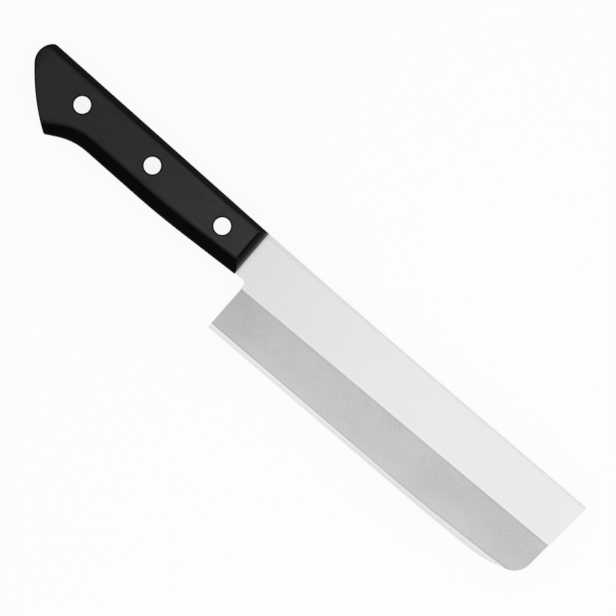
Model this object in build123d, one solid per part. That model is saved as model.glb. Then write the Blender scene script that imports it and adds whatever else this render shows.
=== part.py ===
from build123d import *
from math import atan, radians, tan
import os

# Nakiri knife: a full-tang blade ground in three steps, two handle scales and
# three cutler's rivets, each rivet a socket half and a post half.
# Millimetres. X runs along the knife to the tip, Y to the spine, and Z out of
# the right face of the blade. The finished knife lies on its left scale.
# While it is drawn, zero is where the spine leaves the handle, at mid thickness.

# Blade outline
blade_length = 165.0
blade_height = 44.1
spine_drop = 0.95
neck_length = 6.1
neck_height = 21.1
neck_fillet = 2.6
heel_slant = 0.3
heel_corner_radius = 0.4
tip_rake = 3.2
tip_rise = 5.75
tip_corner_radius = 8.8
spine_corner_radius = 0.7
edge_bend_length = 51.4
edge_bend_radius = 630.0
edge_turn_length = 18.4
edge_turn_rise = 0.65
edge_turn_radius = 61.0

# Blade thickness and its ground faces
stock_thickness = 1.8
tip_thickness = 1.4
shinogi_depth_heel = 23.5
shinogi_depth_tip = 21.7
edge_bevel_width = 2.05
edge_bevel_turn_width = 2.7
edge_bevel_thickness = 0.6
edge_thickness = 0.1
run_out_rise = 1.2
run_out_radius = 60.0
eased_corner = 0.25

# Handle outline, shared by the tang and both scales
handle_length = 119.4
handle_height = 21.6
butt_top_radius = 2.9
butt_nose_radius = 7.8
butt_back_radius = 92.0
butt_toe_radius = 0.9
hollow_radius = 26.4
swell_radius = 313.0
butt_top_shares = (-0.973, 0.111)
butt_nose_shares = (-1.022, -0.169)
butt_back_shares = (-0.910, -0.940)
butt_toe_shares = (-0.805, -1.330)
hollow_shares = (-0.714, -1.055)
swell_shares = (-0.329, -1.089)

# Scales
scale_thickness = 7.9
spine_round = 2.7
belly_round = 6.3
front_round = 3.9
rim_round = 0.6

# Rivets
rivet_head_diameter = 7.2
rivet_head_thickness = 2.0
rivet_tube_diameter = 4.8
rivet_post_diameter = 3.2
rivet_tang_clearance = 0.2
rivet_end_gap = 0.6
rivet_lead = 0.4
rivet_head_break = 0.12
rivet_shares = {
    "front_rivet": (-0.137, -0.464),
    "middle_rivet": (-0.452, -0.452),
    "rear_rivet": (-0.768, -0.440),
}

# How far cutters and trimmed stock run past the finished piece, and the part of a
# straight run that the roundings at its two ends may take
overrun = 8.0
face_overrun = 0.2
corner_room_share = 0.99

# Places that follow from the sizes
handle_half = stock_thickness / 2 + scale_thickness
edge_y = -spine_drop - blade_height
tip_x = neck_length + blade_length
heel_edge_x = neck_length - heel_slant
edge_bend_x = tip_x - edge_bend_length
edge_turn_x = tip_x - edge_turn_length

# How a round piece is set on a level: with its foot there, or with its top
standing = (Align.CENTER, Align.CENTER, Align.MIN)
hanging = (Align.CENTER, Align.CENTER, Align.MAX)


def on_handle(shares):
    """A point of the handle outline, from its shares of the handle's length and height."""
    return (shares[0] * handle_length, shares[1] * handle_height)


def beyond(start, end, extra):
    """The point past the end of a straight line, further on by an extra length."""
    direction = (Vector(*end) - Vector(*start)).normalized()
    point = Vector(*end) + direction * extra
    return (point.X, point.Y)


spine_rear = on_handle(butt_top_shares)
spine_front = (0, 0)
belly_front = (0, -handle_height)
belly_corners = [
    (on_handle(hollow_shares), hollow_radius),
    (on_handle(swell_shares), swell_radius),
]
butt_corners = [
    (spine_rear, butt_top_radius),
    (on_handle(butt_nose_shares), butt_nose_radius),
    (on_handle(butt_back_shares), butt_back_radius),
    (on_handle(butt_toe_shares), butt_toe_radius),
]
spine_slope = -spine_rear[1] / spine_rear[0]
spine_bend_x = spine_drop / spine_slope
spine_radius = (spine_bend_x - neck_length) / tan(atan(spine_slope) / 2)


def fitted_radii(points, radii):
    """The corner radii, each held back where the straight run beside it is too short for it."""
    count = len(points)
    runs = [Vector(*points[(i + 1) % count]) - Vector(*points[i]) for i in range(count)]
    turns = [radians(runs[i - 1].get_angle(runs[i])) for i in range(count)]
    reaches = [radii[i] * tan(turns[i] / 2) for i in range(count)]
    fitted = list(radii)
    for i in range(count):
        after = (i + 1) % count
        taken = reaches[i] + reaches[after]
        room = runs[i].length * corner_room_share
        if taken > room:
            fitted[i] = min(fitted[i], radii[i] * room / taken)
            fitted[after] = min(fitted[after], radii[after] * room / taken)
    return fitted


def rounded_face(corners):
    """A closed outline given by its corners, each with the radius that rounds it."""
    points = [point for point, radius in corners]
    radii = fitted_radii(points, [radius for point, radius in corners])
    return make_face(FilletPolyline(*points, radius=radii, close=True))


def half_thickness(x):
    """Half the thickness between the flats, which taper from the handle to the tip."""
    taper = (stock_thickness - tip_thickness) / 2
    return stock_thickness / 2 - taper * x / tip_x


def flat_plane(rise):
    """The plane of the right flat, which leans with the taper, or one a rise above it."""
    drop = half_thickness(0) - half_thickness(tip_x)
    flat = Plane((0, 0, stock_thickness / 2), x_dir=(tip_x, 0, -drop), z_dir=(drop, 0, tip_x))
    return flat.offset(rise)


def shinogi_y(x):
    """The straight line along the blade where the flat ends and the wide bevel starts."""
    along = (x - neck_length) / blade_length
    depth = shinogi_depth_heel + (shinogi_depth_tip - shinogi_depth_heel) * along
    return -spine_drop - depth


def steel_outline():
    """The outline of the whole steel: blade, neck and tang."""
    neck_and_blade = [
        (belly_front, 0),
        ((0, -neck_height), 0),
        ((neck_length, -neck_height), neck_fillet),
        ((heel_edge_x, edge_y), heel_corner_radius),
        ((edge_bend_x, edge_y), edge_bend_radius),
        ((edge_turn_x, edge_y + edge_turn_rise), edge_turn_radius),
        ((tip_x - tip_rake, edge_y + tip_rise), tip_corner_radius),
        ((tip_x, -spine_drop), spine_corner_radius),
        ((spine_bend_x, -spine_drop), spine_radius),
    ]
    return rounded_face(butt_corners + belly_corners + neck_and_blade)


def flat_cutter(outline):
    """What comes off above the right flat: the distal taper and the eased rim of the blade."""
    drop = half_thickness(0) - half_thickness(tip_x)
    reach = drop + face_overrun
    inset = offset(outline, amount=-eased_corner, kind=Kind.INTERSECTION).face()
    outset = offset(outline, amount=reach, kind=Kind.INTERSECTION).face()
    kept = loft([flat_plane(-eased_corner - reach) * outset, flat_plane(0) * inset], ruled=True)
    depth = eased_corner + drop + face_overrun / 2
    width = (blade_height + handle_height) * 2
    from_handle = (Align.MIN, Align.CENTER, Align.MIN)
    room = Box(tip_x + overrun, width, depth + face_overrun, align=from_handle)
    return Pos(0, 0, stock_thickness / 2 - depth) * room - kept


def ground_line(rise, turn_rise):
    """A line along the blade, level at first, that lifts towards the tip as the edge does."""
    turn = (edge_turn_x, edge_y + turn_rise)
    toward = (tip_x, turn[1] + run_out_rise)
    start = (-overrun, edge_y + rise)
    bend = (edge_bend_x, edge_y + rise)
    end = beyond(turn, toward, overrun)
    return FilletPolyline(start, bend, turn, end, radius=(edge_bend_radius, run_out_radius))


def level(line, plane):
    """One level of the grinding cutter: all of a plane that lies on the edge side of a line."""
    start = line @ 0
    end = line @ 1
    floor_y = edge_y - overrun
    rim = Polyline((end.X, end.Y), (end.X, floor_y), (start.X, floor_y), (start.X, start.Y))
    return plane * make_face(line.edges() + rim.edges())


def bevel_cutter():
    """What grinding takes off the right face: the wide bevel, then the edge bevel."""
    foot_height = edge_bevel_thickness / 2
    edge_line = ground_line(0, edge_turn_rise)
    foot_line = ground_line(edge_bevel_width, edge_turn_rise + edge_bevel_turn_width)
    joints = [edge @ 0 for edge in foot_line.edges().sort_by(Axis.X)] + [foot_line @ 1]
    top_points = []
    for joint in joints:
        reach = 1 + face_overrun / (half_thickness(joint.X) - foot_height)
        top_points.append((joint.X, joint.Y + (shinogi_y(joint.X) - joint.Y) * reach))
    top_line = Polyline(*top_points)
    edge_level = level(edge_line, Plane.XY.offset(edge_thickness / 2))
    foot_level = level(foot_line, Plane.XY.offset(foot_height))
    return loft([edge_level, foot_level, level(top_line, flat_plane(face_overrun))], ruled=True)


def rivet_holes(diameter, depth_from, depth_to):
    """A round hole at each rivet, between two heights."""
    places = [on_handle(shares) for shares in rivet_shares.values()]
    depth = depth_to - depth_from
    hole = Cylinder(diameter / 2, depth, align=standing)
    return [Pos(x, y, depth_from) * hole for x, y in places]


def blade():
    """The blade and its tang, ground and drilled."""
    outline = steel_outline()
    steel = extrude(outline, stock_thickness / 2, both=True)
    for cutter in (flat_cutter(outline), bevel_cutter()):
        steel = steel - cutter - mirror(cutter, Plane.XY)
    hole_diameter = rivet_tube_diameter + rivet_tang_clearance
    return steel - rivet_holes(hole_diameter, -stock_thickness, stock_thickness)


def is_belly_edge(edge):
    """True on the long lower edges of the milled scale."""
    along = edge @ 1 - edge @ 0
    return abs(along.X) > abs(along.Y) and edge.center().Y < -handle_height / 2


def scale_right():
    """The right handle scale: flush with the tang all round, rounded most along the belly."""
    spine_ahead = beyond(spine_rear, spine_front, overrun)
    belly_ahead = beyond(on_handle(swell_shares), belly_front, overrun)
    rear_reach = handle_length / 2
    spine_behind = beyond(spine_front, spine_rear, rear_reach)
    belly_behind = beyond(on_handle(hollow_shares), on_handle(butt_toe_shares), rear_reach)
    ahead = [(belly_ahead, 0), (spine_ahead, 0)]
    behind = [(spine_behind, 0), (belly_behind, 0)]

    outline = rounded_face(butt_corners + belly_corners + ahead)
    slab = extrude(outline, scale_thickness)
    rim = slab.faces().sort_by(Axis.Z)[-1].edges().sort_by(Axis.X)[:-1]
    slab = fillet(rim, rim_round)

    milled = extrude(rounded_face(behind + belly_corners + ahead), scale_thickness)
    long_edges = milled.faces().sort_by(Axis.Z)[-1].edges().sort_by(Axis.X)[1:-1].sort_by(Axis.Y)
    milled = fillet(long_edges[-1], spine_round)
    belly = [edge for edge in milled.faces().sort_by(Axis.Z)[-1].edges() if is_belly_edge(edge)]
    milled = fillet(belly, belly_round)

    from_front = (Align.MAX, Align.CENTER, Align.MIN)
    front = Box(handle_length + overrun, handle_length, scale_thickness, align=from_front)
    front_edge = front.faces().sort_by(Axis.Z)[-1].edges().sort_by(Axis.X)[-1]
    front = fillet(front_edge, front_round)

    wood = Pos(0, 0, stock_thickness / 2) * (slab & milled & front)
    wood -= rivet_holes(rivet_tube_diameter, 0, handle_half)
    return wood - rivet_holes(rivet_head_diameter, handle_half - rivet_head_thickness, handle_half)


def rivet_socket():
    """The half of a rivet that carries the tube, with its head in the right scale."""
    head_under = handle_half - rivet_head_thickness
    tube_length = head_under * 2 - rivet_end_gap
    bore_radius = rivet_post_diameter / 2
    head = Cylinder(rivet_head_diameter / 2, rivet_head_thickness, align=standing)
    head = chamfer(head.edges().group_by(Axis.Z)[-1], rivet_head_break)
    tube = Cylinder(rivet_tube_diameter / 2, tube_length, align=hanging)
    bore = Cylinder(bore_radius, tube_length, align=hanging)
    lead = Cone(bore_radius + rivet_lead, bore_radius, rivet_lead, align=standing)
    return Pos(0, 0, head_under) * (head + (tube - bore - Pos(0, 0, -tube_length) * lead))


def rivet_post():
    """The half of a rivet that carries the solid post, with its head in the left scale."""
    head_top = -handle_half + rivet_head_thickness
    post_length = -head_top * 2 - rivet_end_gap
    head = Cylinder(rivet_head_diameter / 2, rivet_head_thickness, align=hanging)
    head = chamfer(head.edges().group_by(Axis.Z)[0], rivet_head_break)
    post = Cylinder(rivet_post_diameter / 2, post_length, align=standing)
    post = chamfer(post.edges().group_by(Axis.Z)[-1], rivet_lead)
    return Pos(0, 0, head_top) * (head + post)


# The whole knife, node by node
right = scale_right()
pieces = {
    "blade": blade(),
    "scale_right": right,
    "scale_left": mirror(right, Plane.XY),
}
for rivet, shares in rivet_shares.items():
    place = Pos(*on_handle(shares), 0)
    pieces[rivet + "_socket"] = place * rivet_socket()
    pieces[rivet + "_post"] = place * rivet_post()

# Its origin goes to the middle of the knife's footprint, on the surface that it lies on
box = Compound(children=[piece.solid() for piece in pieces.values()]).bounding_box()
centre = box.center()
to_origin = Pos(-centre.X, -centre.Y, -box.min.Z)
print("handle front at", [round(value, 3) for value in (-centre.X, -centre.Y, -box.min.Z)])

os.makedirs("parts", exist_ok=True)
for name, piece in pieces.items():
    solid = (to_origin * piece).solid()
    export_step(solid, f"parts/{name}.step")
    print(name, "valid" if solid.is_valid else "invalid", round(solid.volume, 1), "mm3")
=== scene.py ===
# %% [markdown]
# # A nakiri knife, finished piece by piece
# The solids of this knife come ready from the workshop: a blade with its tang, two
# handle scales and three cutler's rivets. They are true in size and stay where they
# are. What is left is what a polisher and a photographer would do: give every
# surface the finish that its grinding wheel, sander or buff leaves, lay the knife on
# a white table and light it softly. This first cell loads the solids, with a helper
# that measures the box that each one fills.

# %% Load the solids
import math
import bmesh
import bpy
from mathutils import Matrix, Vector


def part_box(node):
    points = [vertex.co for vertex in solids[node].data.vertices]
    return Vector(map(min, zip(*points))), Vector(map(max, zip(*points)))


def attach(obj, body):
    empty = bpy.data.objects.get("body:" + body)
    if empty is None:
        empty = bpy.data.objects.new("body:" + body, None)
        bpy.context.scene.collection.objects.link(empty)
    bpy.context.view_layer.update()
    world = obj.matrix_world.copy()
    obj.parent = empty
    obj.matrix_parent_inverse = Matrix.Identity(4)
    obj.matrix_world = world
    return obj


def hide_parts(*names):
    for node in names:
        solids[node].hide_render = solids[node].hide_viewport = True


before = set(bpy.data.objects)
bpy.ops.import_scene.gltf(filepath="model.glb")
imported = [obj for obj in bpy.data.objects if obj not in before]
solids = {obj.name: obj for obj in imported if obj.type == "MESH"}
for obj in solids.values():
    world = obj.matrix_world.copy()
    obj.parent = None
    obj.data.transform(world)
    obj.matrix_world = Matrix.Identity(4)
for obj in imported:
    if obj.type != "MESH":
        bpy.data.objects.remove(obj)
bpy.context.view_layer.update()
print("solids:", ", ".join(sorted(solids)))

# %% [markdown]
# ## Where things are on the knife
# Finishes on a knife follow its parts: the grinding changes at the ridge between the
# flat and the wide bevel, and the scales are sanded along their length. A few places
# and lengths, measured from the solids, are enough to say where each finish belongs.
# Blender counts in metres, so a length in millimetres is written with MM. The knife
# lies along X with its tip at the high end, its spine towards +Y and the right side
# of the blade up.

# %% Measure the knife
MM = 0.001
blade_low, blade_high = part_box("blade")
scale_low, scale_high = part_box("scale_right")
handle_front = scale_high.x
mid_plane = (blade_low.z + blade_high.z) / 2
handle_half = scale_high.z - mid_plane
rivet_places = []
for rivet in ("front_rivet", "middle_rivet", "rear_rivet"):
    low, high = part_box(rivet + "_socket")
    rivet_places.append(Vector(((low.x + high.x) / 2, (low.y + high.y) / 2, mid_plane)))
rivet_head_radius = (high.x - low.x) / 2
print("handle front at x", round(handle_front / MM, 2), "mm")
print("half thickness of the handle", round(handle_half / MM, 2), "mm")
print("rivets at x", [round(place.x / MM, 2) for place in rivet_places], "mm")
print("radius of a rivet head", round(rivet_head_radius / MM, 2), "mm")

# %% [markdown]
# ## Small helpers for materials and recipes
# Every finish below is a Principled shader with a few procedural patterns wired into
# its colour, roughness and bump. The patterns read Object coordinates in
# millimetres, so a scratch that is 0.2 mm wide on the steel is written as 0.2. The
# helpers keep the wiring short. One starts a material, one adds a node to any kind
# of tree and plugs in what feeds it, and the rest are the few sums and patterns that
# every finish here needs. A noise stays mostly between its trough at 0.3 and its
# crest at 0.7, so a tone is spread between those two.

# %% Start a material and add a node
def start_finish(name):
    """A new material; returns the material, its tree and its shader."""
    finish = bpy.data.materials.new(name)
    finish.use_nodes = True
    return finish, finish.node_tree, finish.node_tree.nodes["Principled BSDF"]


def add(tree, kind, feeds=None, **settings):
    """A node of a kind. Settings are its properties; feeds are its inputs, each a value or a socket."""
    node = tree.nodes.new(kind)
    for name, value in settings.items():
        setattr(node, name, value)
    for name, value in (feeds or {}).items():
        if isinstance(value, bpy.types.NodeSocket):
            tree.links.new(value, node.inputs[name])
        else:
            node.inputs[name].default_value = value
    return node


print("helpers that start a finish and add a node are ready")

# %% Sums of numbers and sockets
def math_of(tree, operation, first, second=0.0):
    """One sum of two values, each a number or a socket."""
    return add(tree, "ShaderNodeMath", {0: first, 1: second}, operation=operation).outputs[0]


def product(tree, *factors):
    """All factors multiplied, each a number or a socket."""
    result = factors[0]
    for factor in factors[1:]:
        result = math_of(tree, "MULTIPLY", result, factor)
    return result


def most(tree, *values):
    """The largest of several values, each a number or a socket."""
    result = values[0]
    for value in values[1:]:
        result = math_of(tree, "MAXIMUM", result, value)
    return result


print("helpers that multiply and compare are ready")

# %% Places and patterns
def places(tree, stretch=(1.0, 1.0, 1.0)):
    """Object coordinates in millimetres, divided by a stretch: marks come out that long on each axis."""
    where = add(tree, "ShaderNodeTexCoord").outputs["Object"]
    scale = [1 / MM / length for length in stretch]
    return add(tree, "ShaderNodeMapping", {"Vector": where, "Scale": scale}).outputs["Vector"]


def noise(tree, stretch, detail=2.0, roughness=0.5):
    """Fractal noise with marks of a given length on each axis, in millimetres."""
    feeds = {"Vector": places(tree, stretch), "Scale": 1.0, "Detail": detail, "Roughness": roughness}
    return add(tree, "ShaderNodeTexNoise", feeds).outputs["Fac"]


print("patterns are measured in steps of", MM, "m")

# %% Fades from one value to another
trough, crest = 0.3, 0.7


def fade(tree, value, start, end, low=0.0, high=1.0):
    """Low while a value is at the start, high once it is at the end, and smooth between."""
    feeds = {"Value": value, "From Min": start, "From Max": end, "To Min": low, "To Max": high}
    return add(tree, "ShaderNodeMapRange", feeds, interpolation_type="SMOOTHSTEP").outputs["Result"]


def spread(tree, pattern, low, high):
    """Low in the troughs of a noise and high on its crests."""
    return fade(tree, pattern, trough, crest, low, high)


def between(tree, share, low, high):
    """Low where a share is 0, high where it is 1, and in a straight line through both."""
    feeds = {"Value": share, "To Min": low, "To Max": high}
    return add(tree, "ShaderNodeMapRange", feeds, clamp=False).outputs["Result"]


print("a noise is spread from", trough, "to", crest)

# %% Tone and relief
def grey(tree, tone):
    """A neutral colour with a tone that comes from a socket."""
    return add(tree, "ShaderNodeCombineColor", {part: tone for part in ("Red", "Green", "Blue")}).outputs[0]


def relief(tree, height, depth):
    """A bump of a given depth in millimetres."""
    return add(tree, "ShaderNodeBump", {"Height": height, "Distance": depth * MM}).outputs["Normal"]


print("helpers for tone and relief are ready")

# %% [markdown]
# ## The ground steel
# A blade like this one is ground in three steps, and each step leaves its own look.
# The flat is rubbed to a fine satin whose scratches run from spine to edge, so it
# mirrors the light above it softly. The wide bevel is left matt, like steel blasted
# with fine grit: it scatters the light and looks darker. The narrow bevel at the
# edge is honed, bright and nearly smooth. All of it is the same metal, so one
# function makes every finish from a tone, a roughness and the size of its marks.

# %% A steel finish from its tone, roughness and marks
cloud_marks = (24.0, 16.0, 16.0)
cloud_share = 1 / 3
uneven_roughness = 0.03


def steel_finish(name, tone, roughness, marks, grain, depth, extra=None):
    """Bare steel. Marks are how long its scratches are on each axis, grain how far they shift its tone."""
    finish, tree, steel = start_finish(name)
    pattern = noise(tree, marks, detail=3.0, roughness=0.6)
    clouds = spread(tree, noise(tree, cloud_marks), -grain * cloud_share, grain * cloud_share)
    shade = math_of(tree, "ADD", spread(tree, pattern, tone - grain, tone + grain), clouds)
    if extra:
        shade = product(tree, shade, extra(tree))
    tree.links.new(grey(tree, shade), steel.inputs["Base Color"])
    rough = spread(tree, pattern, roughness - uneven_roughness, roughness + uneven_roughness)
    tree.links.new(rough, steel.inputs["Roughness"])
    tree.links.new(relief(tree, pattern, depth), steel.inputs["Normal"])
    steel.inputs["Metallic"].default_value = 1.0
    return finish


print("steel finishes can be made, with roughness that varies by", uneven_roughness)

# %% Where a point lies on the knife
def height_off_middle(tree):
    """How far a point lies from the middle plane of the blade, in millimetres."""
    z = add(tree, "ShaderNodeSeparateXYZ", {"Vector": places(tree)}).outputs["Z"]
    return math_of(tree, "ABSOLUTE", math_of(tree, "SUBTRACT", z, mid_plane / MM))


def along(tree, axis):
    """How far a point lies along X, towards the tip, or along Y, towards the spine, in millimetres."""
    return add(tree, "ShaderNodeSeparateXYZ", {"Vector": places(tree)}).outputs[axis]


print("middle plane at z", round(mid_plane / MM, 2), "mm")

# %% [markdown]
# ### Where a finish changes within one face
# Nothing on a hand-finished blade is even right up to its borders. Along the spine the
# flat is painted a shade darker, as shade where it rolls over a little. The ridge is
# crisp: the flat is painted a hair brighter just above it, as a highlight along the
# ridge, and the matt bevel is painted a hair darker just below it, as shade. The bevel
# is also darker near the heel. It stops at a fine dark line where the honing stone met
# it, and just above that it is a touch lighter. The honed bevel is brightest along that
# line and near the heel. On the bevels the height above the middle plane tells how far
# a point is from the edge, so it serves as a ruler that follows the edge round its
# curve. The ridge is a straight line that rises a little towards the tip, so it is
# told by its height at x = 0 and its rise on each millimetre along the knife.

# %% Lines on the blade, in millimetres
# The foot of the matt bevel and the border of the honing are heights off the middle plane.
spine_line = blade_high.y / MM - 3.32
heel = handle_front / MM + 6.0
ridge_start = -2.75
ridge_rise = 0.01
foot_height = 0.3
pressed_height = 0.21
print("heel at x", round(heel, 2), "mm, spine line at y", round(spine_line, 2), "mm")

# %% How the flat changes towards its borders
def above_ridge(tree):
    """How far a point lies above the ridge, in millimetres. The ridge rises in a straight line along X."""
    ridge = between(tree, along(tree, "X"), ridge_start, ridge_start + ridge_rise)
    return math_of(tree, "SUBTRACT", along(tree, "Y"), ridge)


def uneven_flat(tree):
    """A factor for the flat: painted shade in the last millimetre below the spine, a painted highlight
    beside the ridge.
    """
    spine_painted_shade, ridge_painted_highlight = 0.94, 1.02
    dimmer = fade(tree, along(tree, "Y"), spine_line - 1.7, spine_line - 0.5, 1.0, spine_painted_shade)
    brighter = fade(tree, above_ridge(tree), 0.6, 1.4, ridge_painted_highlight, 1.0)
    return product(tree, dimmer, brighter)


print("the ridge rises", ridge_rise, "mm on each millimetre")

# %% How the two bevels change towards theirs
def uneven_bevel(tree):
    """A factor for the wide bevel: darker at heel, painted shade at ridge, lighter low down, a line at its
    foot.
    """
    heel_dim, ridge_painted_shade, foot_glint, line_dim = 0.926, 0.945, 1.055, 0.86
    height = height_off_middle(tree)
    near_heel = fade(tree, along(tree, "X"), heel + 2.0, heel + 20.0, heel_dim, 1.0)
    near_ridge = fade(tree, above_ridge(tree), -1.5, -0.8, 1.0, ridge_painted_shade)
    lighter = fade(tree, height, foot_height, foot_height + 0.22, foot_glint, 1.0)
    line = fade(tree, height, foot_height + 0.006, foot_height + 0.024, line_dim, 1.0)
    return product(tree, near_heel, near_ridge, lighter, line)


def uneven_honing(tree):
    """A factor for the honed bevel: brighter near the heel, and along its upper border."""
    heel_glint, nose_dim, pressed_glint = 1.08, 0.935, 1.06
    border = (pressed_height - 0.02, pressed_height + 0.02)
    near_heel = fade(tree, along(tree, "X"), heel, heel + 105.0, heel_glint, nose_dim)
    pressed = fade(tree, height_off_middle(tree), *border, 1.0, pressed_glint)
    return product(tree, near_heel, pressed)


print("the foot of the matt bevel lies", foot_height, "mm off the middle plane")

# %% The five finishes of the blade
# A row is a tone, a roughness, the length of the marks on each axis, how far they
# shift the tone, their depth in millimetres and, in three rows, how the tone changes.
blade_rows = {
    "satin_flat": (0.644, 0.28, (0.14, 5.0, 5.0), 0.009, 0.002, uneven_flat),
    "matt_bevel": (0.519, 0.46, (0.42, 0.42, 0.42), 0.060, 0.008, uneven_bevel),
    "honed_edge": (0.625, 0.22, (0.10, 1.5, 1.5), 0.012, 0.001, uneven_honing),
    # The eased rim has a tone above that of steel: a painted highlight that keeps the rim bright.
    "eased_rim_painted_light": (0.86, 0.24, (1.2, 1.2, 1.2), 0.020, 0.001),
    "sanded_sides": (0.60, 0.36, (4.0, 4.0, 0.12), 0.030, 0.003),
}
blade_finishes = [steel_finish(name, *row) for name, row in blade_rows.items()]
print("blade finishes:", [finish.name for finish in blade_finishes])

# %% [markdown]
# ## Sort the blade's faces by how they were ground
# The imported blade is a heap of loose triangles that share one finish. A copy of it
# is welded, and then each face is asked one question: how far does it lean away from
# the flat? Under half a degree it is the flat itself, a degree or two is the wide
# bevel, six degrees is the honed one, and half way down is the narrow rim that was
# eased so that it doesn't cut the hand. Anything steeper is spine, heel, tip or the
# edge of the tang. Edges between two finishes are kept sharp, and so are real
# corners, while the small facets of one ground face are shaded as one.

# %% Tell the ground faces apart
flat_lean = math.radians(0.5)
bevel_lean = math.radians(3.0)
honed_lean = math.radians(20.0)
rim_lean = math.radians(65.0)


def ground_as(face):
    """The number of a face's finish, from its lean."""
    lean = math.acos(min(1.0, abs(face.normal.z)))
    return sum(lean > limit for limit in (flat_lean, bevel_lean, honed_lean, rim_lean))


print("the flat leans less than", round(math.degrees(flat_lean), 1), "degrees")

# %% Weld the blade and give every face its finish
corner_angle = math.radians(25.0)
weld_distance = 0.0005 * MM


def finished_blade():
    """The blade as one welded mesh with its five finishes."""
    welded = bmesh.new()
    welded.from_mesh(solids["blade"].data)
    bmesh.ops.remove_doubles(welded, verts=welded.verts, dist=weld_distance)
    welded.normal_update()
    for face in welded.faces:
        face.material_index = ground_as(face)
        face.smooth = True
    for edge in welded.edges:
        kinds = {face.material_index for face in edge.link_faces}
        edge.smooth = len(kinds) == 1 and edge.calc_face_angle(0.0) < corner_angle
    mesh = bpy.data.meshes.new("ground_blade")
    welded.to_mesh(mesh)
    welded.free()
    for finish in blade_finishes:
        mesh.materials.append(finish)
    return mesh


print("points closer than", weld_distance / MM, "mm are welded")

# %% Put the ground blade in the place of the plain one
ground_blade = bpy.data.objects.new("ground_blade", finished_blade())
bpy.context.scene.collection.objects.link(ground_blade)
for number, finish in enumerate(blade_finishes):
    area = sum(face.area for face in ground_blade.data.polygons if face.material_index == number)
    print(finish.name, round(area / MM / MM), "mm2")
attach(ground_blade, "root")
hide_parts("blade")

# %% [markdown]
# ## The black scales
# The scales are laminated wood, stained black through and pressed with resin. Their
# faces are sanded flat and buffed, so they throw back just enough light to look dark
# grey. The rounded shoulders are shaped by hand on a slack belt, hardly buffed and matt.
# Their colour holds painted light and shade: along the belly the shoulder is painted
# darker, as deep black shade, along the spine it is painted a little lighter, and the
# front end is painted lighter where it catches the light. The buff, and the face's
# colour with it, reaches further round the shoulder of the spine beside the blade, and
# a little further at the toe of the hook. At the nose of the butt and beside the spine
# the face is painted darker towards its rim, as shade where it would round over. The
# sides below the shoulders are satin again, with a painted sheen in their colour. A
# finish can tell these places apart by the way the surface faces, which is why the mask
# below reads the object's own normal. Very fine pores run along the handle, a thin dark
# ring of glue sits round every rivet, and on the sides the veneers show as faint lines,
# about half a millimetre apart.

# %% Which way a surface faces
before_blade = (handle_front / MM - 24.0, handle_front / MM - 6.0)


def facing(tree):
    """The parts of the object's own normal, and the angle by which a surface leans away from the face."""
    normal = add(tree, "ShaderNodeTexCoord").outputs["Normal"]
    parts = add(tree, "ShaderNodeSeparateXYZ", {"Vector": normal}).outputs
    return parts, math_of(tree, "ARCCOSINE", math_of(tree, "ABSOLUTE", parts["Z"]))


def by_the_blade(tree):
    """0 along the handle and 1 in its last millimetres before the blade."""
    return fade(tree, along(tree, "X"), *before_blade)


print("the last millimetres before the blade: x from", round(before_blade[0], 2), "mm")

# %% How far the buff reaches round the shoulder
shoulder_lean = math.radians(14.5)
toe_lean = math.radians(23.0)
spine_front_lean = math.radians(40.0)
hook_toe = scale_low.x / MM + 20.0


def widest_lean(tree, normal):
    """The lean where the buff ends and painted shade begins: wider at the hook's toe, widest by spine and
    blade.
    """
    by_the_toe = fade(tree, along(tree, "X"), hook_toe + 10.0, hook_toe)
    at_toe = product(tree, by_the_toe, fade(tree, normal["Y"], 0.0, -0.1))
    at_blade = product(tree, by_the_blade(tree), fade(tree, normal["Y"], 0.0, 0.1))
    return between(tree, at_blade, between(tree, at_toe, shoulder_lean, toe_lean), spine_front_lean)


print("the toe of the hook is at x", round(hook_toe, 2), "mm")

# %% Painted shade where the face would round over at the nose of the butt
nose_radius = 7.8
nose_centre = Vector((scale_low.x / MM + nose_radius, scale_high.y / MM - 6.3, 0.0))


def reach_from(tree, place):
    """How far a point lies from the upright line through a place, in millimetres."""
    offset = add(tree, "ShaderNodeVectorMath", {0: places(tree), 1: place}, operation="SUBTRACT")
    feeds = {0: offset.outputs[0], 1: (1, 1, 0)}
    flat_offset = add(tree, "ShaderNodeVectorMath", feeds, operation="MULTIPLY")
    reach = add(tree, "ShaderNodeVectorMath", {0: flat_offset.outputs[0]}, operation="LENGTH")
    return reach.outputs["Value"]


def rim_painted_shade_at_nose(tree):
    """Painted shade: a factor that darkens the face towards the nose of the butt, where it would round over.
    """
    slope_dim, rim_dim = 0.72, 0.45
    rim_start = nose_radius - 1.6
    reach = reach_from(tree, nose_centre)
    slope = fade(tree, reach, nose_radius - 5.8, rim_start, 1.0, slope_dim)
    rim = fade(tree, reach, rim_start, nose_radius - 0.4, 1.0, rim_dim)
    behind = fade(tree, along(tree, "X"), nose_centre.x - 1.0, nose_centre.x - 5.0)
    above = fade(tree, along(tree, "Y"), nose_centre.y - 8.0, nose_centre.y - 5.0)
    return between(tree, product(tree, behind, above), 1.0, product(tree, slope, rim))


print("the nose of the butt turns about", [round(part, 2) for part in nose_centre.xy])

# %% Painted shade where the face would round over beside the spine
# The rim of the face is a straight line there, told by its height at x = 0 and its rise.
spine_start = 20.865
spine_rise = -0.0203


def rim_painted_shade_by_spine(tree):
    """Painted shade: a factor that darkens the face beside the spine, most towards the butt, not by the
    blade.
    """
    butt_dim, middle_dim = 0.60, 0.88
    top = between(tree, along(tree, "X"), spine_start, spine_start + spine_rise)
    depth = math_of(tree, "SUBTRACT", top, along(tree, "Y"))
    towards_butt = (handle_front / MM - 84.0, handle_front / MM - 50.0)
    dimmest = fade(tree, along(tree, "X"), *towards_butt, butt_dim, middle_dim)
    return fade(tree, depth, 2.4, 4.4, between(tree, by_the_blade(tree), dimmest, 1.0), 1.0)


print("the rim beside the spine starts at y", spine_start, "mm")
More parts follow.
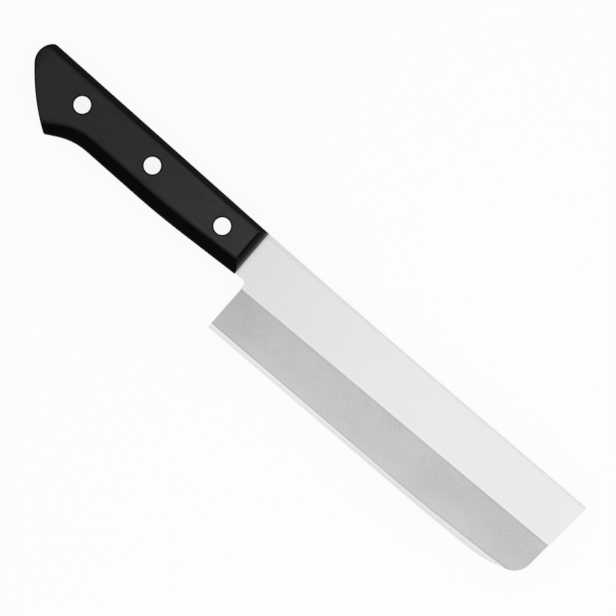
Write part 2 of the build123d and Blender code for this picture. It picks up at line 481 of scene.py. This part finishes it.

# %% [markdown]
# ### How well each part is buffed
# The mask that the finish reads is one number: 1 where the scale is buffed well, 0
# where it is left matt. It sets the colour too, so where it is low the black is painted
# darker as shade, and where it is high it is painted lighter. Each part of the scale
# gives its own number, and the largest one holds. The front end is split in three: its
# slope, the rim that catches the light and is painted lighter, and the flat end below
# the rim, which is satin like the sides.

# %% How well the face and the front end are buffed
front_slope_painted_light, front_rim_painted_light, front_end_share = 0.42, 2.0, 0.3


def on_face(tree, normal, lean, forward):
    """1 on the face, 0 where the buff ends on the shoulder, and little where the front end turns down."""
    round_the_shoulder = math_of(tree, "DIVIDE", lean, widest_lean(tree, normal))
    level = most(tree, between(tree, round_the_shoulder, 1.0, 0.0), 0.0)
    turned_down = fade(tree, forward, 0.03, 0.18, 1.0, 0.15)
    return product(tree, level, turned_down, rim_painted_shade_at_nose(tree), rim_painted_shade_by_spine(tree))


def front_painted_light(tree, forward):
    """Painted light: some on the slope of the front end, most on its rim, and less on its flat end."""
    slope = fade(tree, forward, 0.12, 0.50, 0.0, front_slope_painted_light)
    rim = fade(tree, forward, 0.60, 0.85, 0.0, front_rim_painted_light)
    end = fade(tree, forward, 0.95, 0.99, 1.0, front_end_share)
    return product(tree, math_of(tree, "ADD", slope, rim), end)


print("the rim of the front end shines", front_rim_painted_light, "times as much as the face")

# %% How well the spine and the sides are buffed
side_lean = (math.radians(72.0), math.radians(86.0))
veneer_marks = (70.0, 70.0, 0.5)
spine_shoulder_painted_light, side_painted_sheen = 0.28, 0.55


def on_spine(tree, normal):
    """Painted light: some on the spine's shoulder, and less where it turns into the side."""
    slope = fade(tree, normal["Y"], 0.0, 0.25, 0.0, spine_shoulder_painted_light)
    return product(tree, slope, fade(tree, normal["Y"], 0.60, 0.90, 1.0, 0.6))


def on_sides(tree, lean):
    """A painted sheen: some on the sides, more on one veneer than on the next."""
    veneers = fade(tree, noise(tree, veneer_marks, detail=1.0), 0.35, 0.65, 0.7, 1.3)
    return product(tree, fade(tree, lean, *side_lean, 0.0, side_painted_sheen), veneers)


print("the sides shine", side_painted_sheen, "times as much as the face")

# %% The whole mask
def buffed(tree):
    """How well a point is buffed, with its painted light and shade. The front end counts only where it lies
    there.
    """
    normal, lean = facing(tree)
    at_front = fade(tree, along(tree, "X"), handle_front / MM - 8.0, handle_front / MM - 6.0)
    forward = product(tree, normal["X"], at_front)
    parts = (on_face(tree, normal, lean, forward), front_painted_light(tree, forward))
    return most(tree, *parts, on_spine(tree, normal), on_sides(tree, lean))


print("the mask of the buff can be made")

# %% Rings of glue round the rivets
def glue_rings(tree):
    """1 in a thin ring round each rivet head, and 0 elsewhere."""
    edge = rivet_head_radius / MM
    reaches = [reach_from(tree, place / MM) for place in rivet_places]
    return most(tree, *[fade(tree, reach, edge + 0.45, edge + 0.85, 1.0, 0.0) for reach in reaches])


print("rings of glue round", len(rivet_places), "rivets")

# %% Measures of the black laminate
pore_marks = (9.0, 0.45, 0.45)
pore_tones = (0.0035, 0.0090)
pore_shine = (1.30, 0.70)
pore_depth = 0.012
sanding_marks = (2.5, 0.12, 0.12)
matt_roughness, satin_roughness = 0.82, 0.36
matt_shine, satin_shine = 0.02, 0.36
shoulder_shade_share, glue_tone, glue_shine, rear_shine = 0.45, 0.4, 0.25, 0.74
well_buffed = handle_front / MM - 15.0
print("pores are", pore_marks[0], "mm long and", pore_marks[1], "mm wide")

# %% The black laminate
def black_laminate():
    """Black resin-filled wood: satin where it is buffed, matt and painted darker where it is not."""
    finish, tree, wood = start_finish("black_laminate")
    pores = noise(tree, pore_marks, detail=4.0, roughness=0.65)
    sanding = noise(tree, sanding_marks, detail=2.0)
    face = buffed(tree)
    glue = glue_rings(tree)
    # The colour is painted darker where the mask is low, as shade on the shoulders, and lighter where it is
    # high.
    painted_tone = fade(tree, face, 0.0, 1.0, shoulder_shade_share, 1.0)
    tone = product(tree, spread(tree, pores, *pore_tones), painted_tone, between(tree, glue, 1.0, glue_tone))
    tree.links.new(grey(tree, tone), wood.inputs["Base Color"])
    rough = fade(tree, face, 0.0, 0.7, matt_roughness, satin_roughness)
    uneven = spread(tree, sanding, -uneven_roughness, uneven_roughness)
    tree.links.new(math_of(tree, "ADD", rough, uneven), wood.inputs["Roughness"])
    shine = product(tree, between(tree, face, matt_shine, satin_shine), between(tree, glue, 1.0, glue_shine))
    towards_blade = fade(tree, along(tree, "X"), well_buffed - 60.0, well_buffed, rear_shine, 1.0)
    shine = product(tree, shine, towards_blade, spread(tree, pores, *pore_shine))
    tree.links.new(shine, wood.inputs["Specular IOR Level"])
    tree.links.new(relief(tree, pores, pore_depth), wood.inputs["Normal"])
    return finish


scale_finish = black_laminate()
for scale in ("scale_right", "scale_left"):
    solids[scale].material_slots[0].material = scale_finish
    print(scale, "finished with", scale_finish.name)

# %% [markdown]
# ## Cutler's rivets, turned once and set three times
# Each rivet is two turned pieces: a head with a hollow tube, and a head with a solid
# post that is driven into it. A turned piece is a half section swept round an axis,
# and the same piece sits in three places, so this is work for Geometry Nodes. The
# recipe draws the half section corner by corner, sweeps it round a circle, joins
# both halves, and puts the pair on three points. Its sizes are named inputs.

# %% Start a recipe
def start_recipe(name, sizes):
    """A recipe that takes geometry, a material and named sizes; returns its tree and its input node."""
    tree = bpy.data.node_groups.new(name, "GeometryNodeTree")
    tree.interface.new_socket("Geometry", in_out="INPUT", socket_type="NodeSocketGeometry")
    tree.interface.new_socket("Geometry", in_out="OUTPUT", socket_type="NodeSocketGeometry")
    tree.interface.new_socket("Finish", in_out="INPUT", socket_type="NodeSocketMaterial")
    for size in sizes:
        tree.interface.new_socket(size, in_out="INPUT", socket_type="NodeSocketFloat")
    return tree, tree.nodes.new("NodeGroupInput")


print("a recipe can be started")

# %% Turn a half section about its axis
recipe_facets = 72


def turned(tree, corners, axle):
    """A half section, from its bottom on the axis to its top on the axis, swept round a circle."""
    line = add(tree, "GeometryNodeMeshLine", {"Count": len(corners)})
    section = add(tree, "GeometryNodeIndexSwitch", data_type="VECTOR")
    while len(section.index_switch_items) < len(corners):
        section.index_switch_items.new()
    tree.links.new(add(tree, "GeometryNodeInputIndex").outputs[0], section.inputs[0])
    for number, (radius, height) in enumerate(corners):
        feeds = {"X": math_of(tree, "SUBTRACT", radius, axle), "Y": height}
        tree.links.new(add(tree, "ShaderNodeCombineXYZ", feeds).outputs[0], section.inputs[number + 1])
    feeds = {"Geometry": line.outputs["Mesh"], "Position": section.outputs[0]}
    drawn = add(tree, "GeometryNodeSetPosition", feeds).outputs[0]
    profile = add(tree, "GeometryNodeMeshToCurve", {"Mesh": drawn}).outputs[0]
    circle = add(tree, "GeometryNodeCurvePrimitiveCircle", {"Resolution": recipe_facets, "Radius": axle})
    feeds = {"Curve": circle.outputs["Curve"], "Profile Curve": profile}
    return add(tree, "GeometryNodeCurveToMesh", feeds).outputs[0]


print("a turned piece has", recipe_facets, "facets")

# %% Run a recipe and keep what it makes
def plain_mesh(name, points, tree, values):
    """Runs a recipe on a few points and keeps the result as a plain mesh object."""
    seed_mesh = bpy.data.meshes.new(name + "_points")
    seed_mesh.from_pydata(points, [], [])
    seed = bpy.data.objects.new(name + "_points", seed_mesh)
    bpy.context.scene.collection.objects.link(seed)
    recipe = seed.modifiers.new(name, "NODES")
    recipe.node_group = tree
    for item in tree.interface.items_tree:
        if item.name in values:
            recipe[item.identifier] = values[item.name]
    bpy.context.view_layer.update()
    made = seed.evaluated_get(bpy.context.evaluated_depsgraph_get())
    piece = bpy.data.objects.new(name, bpy.data.meshes.new_from_object(made))
    bpy.context.scene.collection.objects.link(piece)
    bpy.data.objects.remove(seed)
    return piece


print("a recipe can be run")

# %% [markdown]
# ### The rivet recipe
# The corners run from the bottom of the section to its top, which leaves the faces
# pointing outwards. The pair stands on the middle plane of the knife: the socket's
# head is up in the right scale, and the post's head is down in the left one. Where
# a section touches its axis, the sweep leaves a ring of points with no width, and
# merging them closes the pole.

# %% The sizes of a rivet
rivet_sizes = {
    "Head Radius": rivet_head_radius,
    "Head Top": handle_half,
    "Head Under": handle_half - 2.0 * MM,
    "Edge Break": 0.06 * MM,
    "Tube Radius": 2.4 * MM,
    "Post Radius": 1.6 * MM,
    "Shank End": handle_half - 2.6 * MM,
    "Post Lead": 0.4 * MM,
}
axle = 1.0 * MM
turned_corner = 0.5
print("rivet sizes:", {name: round(value / MM, 2) for name, value in rivet_sizes.items()})

# %% Draw the half sections
tree, recipe_inputs = start_recipe("cutlers_rivets", rivet_sizes)
size = recipe_inputs.outputs
head, top, under, post = size["Head Radius"], size["Head Top"], size["Head Under"], size["Post Radius"]
tube, end = size["Tube Radius"], size["Shank End"]
broken_head = math_of(tree, "SUBTRACT", head, size["Edge Break"])
broken_top = math_of(tree, "SUBTRACT", top, size["Edge Break"])
down = {part: math_of(tree, "MULTIPLY", part, -1.0) for part in (top, broken_top, under, end)}
lead_radius = math_of(tree, "SUBTRACT", post, size["Post Lead"])
lead_height = math_of(tree, "SUBTRACT", end, size["Post Lead"])
socket_corners = [(0.0, under), (post, under), (post, down[end]), (tube, down[end]), (tube, under),
                  (head, under), (head, broken_top), (broken_head, top), (0.0, top)]
post_corners = [(0.0, down[top]), (broken_head, down[top]), (head, down[broken_top]), (head, down[under]),
                (post, down[under]), (post, lead_height), (lead_radius, end), (0.0, end)]
print("corners of the socket", len(socket_corners), "and of the post", len(post_corners))

# %% Sweep, join and place them
pair = add(tree, "GeometryNodeJoinGeometry")
for corners in (socket_corners, post_corners):
    tree.links.new(turned(tree, corners, axle), pair.inputs[0])
feeds = {"Geometry": pair.outputs[0], "Distance": 2 * weld_distance}
welded = add(tree, "GeometryNodeMergeByDistance", feeds)
feeds = {"Points": size["Geometry"], "Instance": welded.outputs[0]}
set_in_place = add(tree, "GeometryNodeInstanceOnPoints", feeds)
real = add(tree, "GeometryNodeRealizeInstances", {"Geometry": set_in_place.outputs[0]})
edge_angle = add(tree, "GeometryNodeInputMeshEdgeAngle").outputs[0]
corner = add(tree, "FunctionNodeCompare", {0: edge_angle, 1: turned_corner})
feeds = {"Geometry": real.outputs[0], "Selection": corner.outputs[0], "Shade Smooth": False}
sharp = add(tree, "GeometryNodeSetShadeSmooth", feeds, domain="EDGE")
finished = add(tree, "GeometryNodeSetMaterial", {"Geometry": sharp.outputs[0], "Material": size["Finish"]})
tree.links.new(finished.outputs[0], add(tree, "NodeGroupOutput").inputs[0])
print("recipe", tree.name, "has", len(tree.nodes), "nodes")

# %% [markdown]
# ### Bright rivets
# The heads are ground off level with the scales on the same belt and buffed with
# them, so they are bright, with faint scratches that run along the handle.

# %% Make the rivets
brushed_marks = (2.4, 0.09, 2.4)
rivet_bright = steel_finish(
    "rivet_bright", tone=0.83, roughness=0.20, marks=brushed_marks, grain=0.032, depth=0.001)
rivet_values = {**rivet_sizes, "Finish": rivet_bright}
rivets = plain_mesh("rivets", rivet_places, tree, rivet_values)
checked = bmesh.new()
checked.from_mesh(rivets.data)
volume = checked.calc_volume(signed=True) / MM ** 3
checked.free()
print("rivets:", len(rivets.data.polygons), "faces, volume", round(volume, 1), "mm3")
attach(rivets, "root")
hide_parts(*[name for name in solids if "rivet" in name])

# %% [markdown]
# ## A white table
# The table is a plain white sheet. The camera, and anything that mirrors the table,
# sees it almost fully white, and the rest of its colour comes from the light that
# falls on it, so the knife still throws its soft shadow there.

# %% The sheet
table_size = 12.0
table_drop = 0.02 * MM
half = table_size / 2
table_mesh = bpy.data.meshes.new("table")
table_corners = [(-half, -half, 0), (half, -half, 0), (half, half, 0), (-half, half, 0)]
table_mesh.from_pydata(table_corners, [], [(0, 1, 2, 3)])
table = bpy.data.objects.new("table", table_mesh)
table.location.z = -table_drop
bpy.context.scene.collection.objects.link(table)
print("table", table_size, "m wide")

# %% Its white paint
table_white = (0.93, 0.93, 0.93, 1.0)
table_glow = 0.92
white_sheet, tree, paint = start_finish("white_sheet")
paint.inputs["Base Color"].default_value = table_white
paint.inputs["Roughness"].default_value = 0.9
paint.inputs["Specular IOR Level"].default_value = 0.0
rays = add(tree, "ShaderNodeLightPath").outputs
seen = most(tree, rays["Is Camera Ray"], rays["Is Glossy Ray"], rays["Is Transmission Ray"])
glow = add(tree, "ShaderNodeEmission").outputs[0]
feeds = {0: product(tree, seen, table_glow), 1: paint.outputs[0], 2: glow}
mixed = add(tree, "ShaderNodeMixShader", feeds)
tree.links.new(mixed.outputs[0], tree.nodes["Material Output"].inputs["Surface"])
table_mesh.materials.append(white_sheet)
print("the table glows with", table_glow, "where it is seen")

# %% [markdown]
# ## Soft light
# A pale room fills in from all around, and two soft boxes hang over the knife, end to
# end. The one over the blade is brighter than the one over the handle, so the steel
# gets a little lighter towards the tip. Flat steel mirrors the boxes, which is what
# makes it look bright: a steel plate under a dark sky is a dark plate.

# %% Two soft boxes
lamp_height = 0.5
lamp_width = 0.5


def soft_box(name, start, end, brightness):
    """A lamp that hangs from one x to another. It adds its brightness to that of the room behind it."""
    lamp = bpy.data.lights.new(name, "AREA")
    lamp.shape = "RECTANGLE"
    lamp.size, lamp.size_y = end - start, lamp_width
    lamp.energy = brightness * math.pi * lamp.size * lamp.size_y
    box = bpy.data.objects.new(name, lamp)
    box.location = ((start + end) / 2, 0.0, lamp_height)
    box.visible_camera = False
    bpy.context.scene.collection.objects.link(box)
    return box


soft_box("handle_box", start=-0.19, end=0.01, brightness=0.44)
soft_box("blade_box", start=0.01, end=0.48, brightness=0.66)

# %% A pale room
room_brightness = 0.68
room = bpy.data.worlds.new("room")
room.use_nodes = True
sky = room.node_tree.nodes["Background"]
sky.inputs["Color"].default_value = (1.0, 1.0, 1.0, 1.0)
sky.inputs["Strength"].default_value = room_brightness
bpy.context.scene.world = room
print("room brightness", room_brightness)

# %% [markdown]
# ## The camera
# The picture is square and taken from straight above, with the knife turned so that
# it runs from the upper left to the lower right. A very long lens from four metres
# up shows the knife without perspective, as a catalogue does.

# %% Camera
picture_width = 251.09 * MM
picture_middle = (6.0 * MM, 8.65 * MM)
picture_turn = math.radians(40.5)
sensor = 36.0
lens = 600.0
eye = bpy.data.cameras.new("camera")
eye.lens = lens
eye.sensor_width = sensor
eye.clip_end = 50.0
camera = bpy.data.objects.new("camera", eye)
camera.location = (*picture_middle, blade_high.z + picture_width * lens / sensor)
camera.rotation_euler = (0.0, 0.0, picture_turn)
bpy.context.scene.collection.objects.link(camera)
bpy.context.scene.camera = camera
bpy.context.scene.view_settings.view_transform = "Standard"
print("camera", round(camera.location.z, 2), "m above the table")
